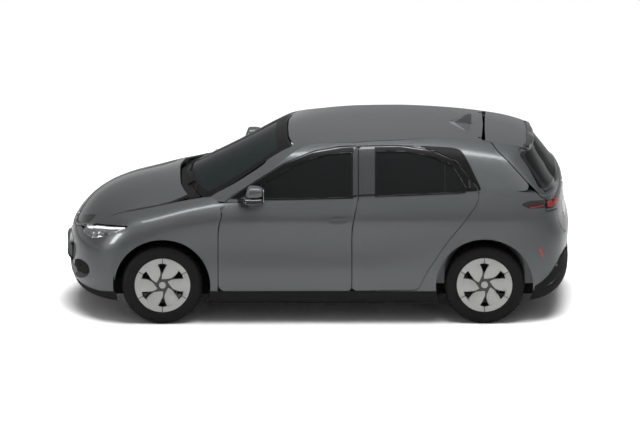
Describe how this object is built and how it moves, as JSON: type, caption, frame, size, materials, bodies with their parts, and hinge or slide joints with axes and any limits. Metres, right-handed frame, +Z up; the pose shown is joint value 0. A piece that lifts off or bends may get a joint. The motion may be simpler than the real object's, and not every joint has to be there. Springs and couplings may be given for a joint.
{
  "type": "hatchback car",
  "caption": "Compact five-door electric hatchback car with opening doors, bonnet and tailgate, steered front wheels and rolling wheels.",
  "frame": {"origin": "centre of the car's outline on the ground plane", "axes": "+X towards the tail, +Y towards the car's right side, +Z up"},
  "size_m": [4.2963, 2.02, 1.6339],
  "materials": {
    "body_paint": "metallic satin gloss",
    "black_plastic": "grained",
    "tinted_glass": "polished",
    "clear_glass": "polished",
    "lamp_clear": "clear lens over a dark housing",
    "lamp_red": "red lens",
    "tyre": "matt",
    "wheel_silver": "satin painted",
    "cast_steel": "machined and painted",
    "underbody": "satin",
    "battery_case": "satin",
    "motor_case": "cast",
    "dash_plastic": "soft grained",
    "seat_fabric": "woven",
    "wheel_rim_trim": "smooth"
  },
  "bodies": {
    "body": {"tail_lamps_outer": "lamp_red", "side_frame_left": "body_paint", "side_frame_right": "body_paint", "roof_panel": "body_paint", "floor_pan": "underbody", "front_fender_left": "body_paint", "front_fender_right": "body_paint", "front_bumper": "body_paint", "rear_bumper": "body_paint", "lower_trim": "black_plastic", "headlamps": "lamp_clear", "windscreen": "clear_glass", "cowl_panel": "black_plastic", "battery_pack": "battery_case", "drive_unit": "motor_case", "front_subframe": "cast_steel", "rear_subframe": "cast_steel", "dashboard": "dash_plastic", "front_seats": "seat_fabric", "rear_bench": "seat_fabric"},
    "front_door_left": {"front_door_left": "body_paint", "front_door_glass_left": "clear_glass", "mirror_left": "body_paint"},
    "front_door_right": {"front_door_right": "body_paint", "front_door_glass_right": "clear_glass", "mirror_right": "body_paint"},
    "rear_door_left": {"rear_door_left": "body_paint", "rear_door_glass_left": "tinted_glass"},
    "rear_door_right": {"rear_door_right": "body_paint", "rear_door_glass_right": "tinted_glass"},
    "bonnet": {"bonnet": "body_paint"},
    "tailgate": {"tailgate": "body_paint", "rear_window": "tinted_glass", "tail_lamps_inner": "lamp_red"},
    "steering_wheel": {"steering_wheel": "wheel_rim_trim"},
    "knuckle_left": {"front_knuckle_left": "cast_steel"},
    "knuckle_right": {"front_knuckle_right": "cast_steel"},
    "front_wheel_left": {"front_wheel_left": "wheel_silver", "front_tyre_left": "tyre"},
    "front_wheel_right": {"front_wheel_right": "wheel_silver", "front_tyre_right": "tyre"},
    "rear_wheel_left": {"rear_wheel_left": "wheel_silver", "rear_tyre_left": "tyre"},
    "rear_wheel_right": {"rear_wheel_right": "wheel_silver", "rear_tyre_right": "tyre"}
  },
  "joints": [
    {"name": "front_door_left_hinge", "type": "hinge", "parent": "body", "child": "front_door_left", "pos_m": [-0.822, -0.86568, 0.6], "axis": [0, 0, -1], "range_deg": [0, 65]},
    {"name": "front_door_right_hinge", "type": "hinge", "parent": "body", "child": "front_door_right", "pos_m": [-0.822, 0.86568, 0.6], "axis": [0, 0, 1], "range_deg": [0, 65]},
    {"name": "rear_door_left_hinge", "type": "hinge", "parent": "body", "child": "rear_door_left", "pos_m": [0.329, -0.86685, 0.6], "axis": [0, 0, -1], "range_deg": [0, 68]},
    {"name": "rear_door_right_hinge", "type": "hinge", "parent": "body", "child": "rear_door_right", "pos_m": [0.329, 0.86685, 0.6], "axis": [0, 0, 1], "range_deg": [0, 68]},
    {"name": "bonnet_hinge", "type": "hinge", "parent": "body", "child": "bonnet", "pos_m": [-1.136, 0, 1.046], "axis": [0, 1, 0], "range_deg": [0, 45]},
    {"name": "tailgate_hinge", "type": "hinge", "parent": "body", "child": "tailgate", "pos_m": [1.386, 0, 1.509], "axis": [0, -1, 0], "range_deg": [0, 78]},
    {"name": "steer_left", "type": "hinge", "parent": "body", "child": "knuckle_left", "pos_m": [-1.3435, -0.712, 0.215], "axis": [0, 0.2228, 0.9749], "range_deg": [-36, 36]},
    {"name": "steer_right", "type": "hinge", "parent": "body", "child": "knuckle_right", "pos_m": [-1.3435, 0.712, 0.215], "axis": [0, -0.2228, 0.9749], "range_deg": [-36, 36]},
    {"name": "steering_wheel_turn", "type": "hinge", "parent": "body", "child": "steering_wheel", "pos_m": [-0.33, -0.37, 0.925], "axis": [0.9135, 0, 0.4067], "range_deg": [-545, 545]},
    {"name": "front_wheel_left_spin", "type": "hinge", "parent": "knuckle_left", "child": "front_wheel_left", "pos_m": [-1.3435, -0.7685, 0.347], "axis": [0, 1, 0], "continuous": true},
    {"name": "front_wheel_right_spin", "type": "hinge", "parent": "knuckle_right", "child": "front_wheel_right", "pos_m": [-1.3435, 0.7685, 0.347], "axis": [0, 1, 0], "continuous": true},
    {"name": "rear_wheel_left_spin", "type": "hinge", "parent": "body", "child": "rear_wheel_left", "pos_m": [1.4265, -0.7575, 0.347], "axis": [0, 1, 0], "continuous": true},
    {"name": "rear_wheel_right_spin", "type": "hinge", "parent": "body", "child": "rear_wheel_right", "pos_m": [1.4265, 0.7575, 0.347], "axis": [0, 1, 0], "continuous": true}
  ],
  "couplings": [
    {"joint": "steer_right", "follows": "steer_left", "ratio": 1},
    {"joint": "steering_wheel_turn", "follows": "steer_left", "ratio": 15}
  ]
}
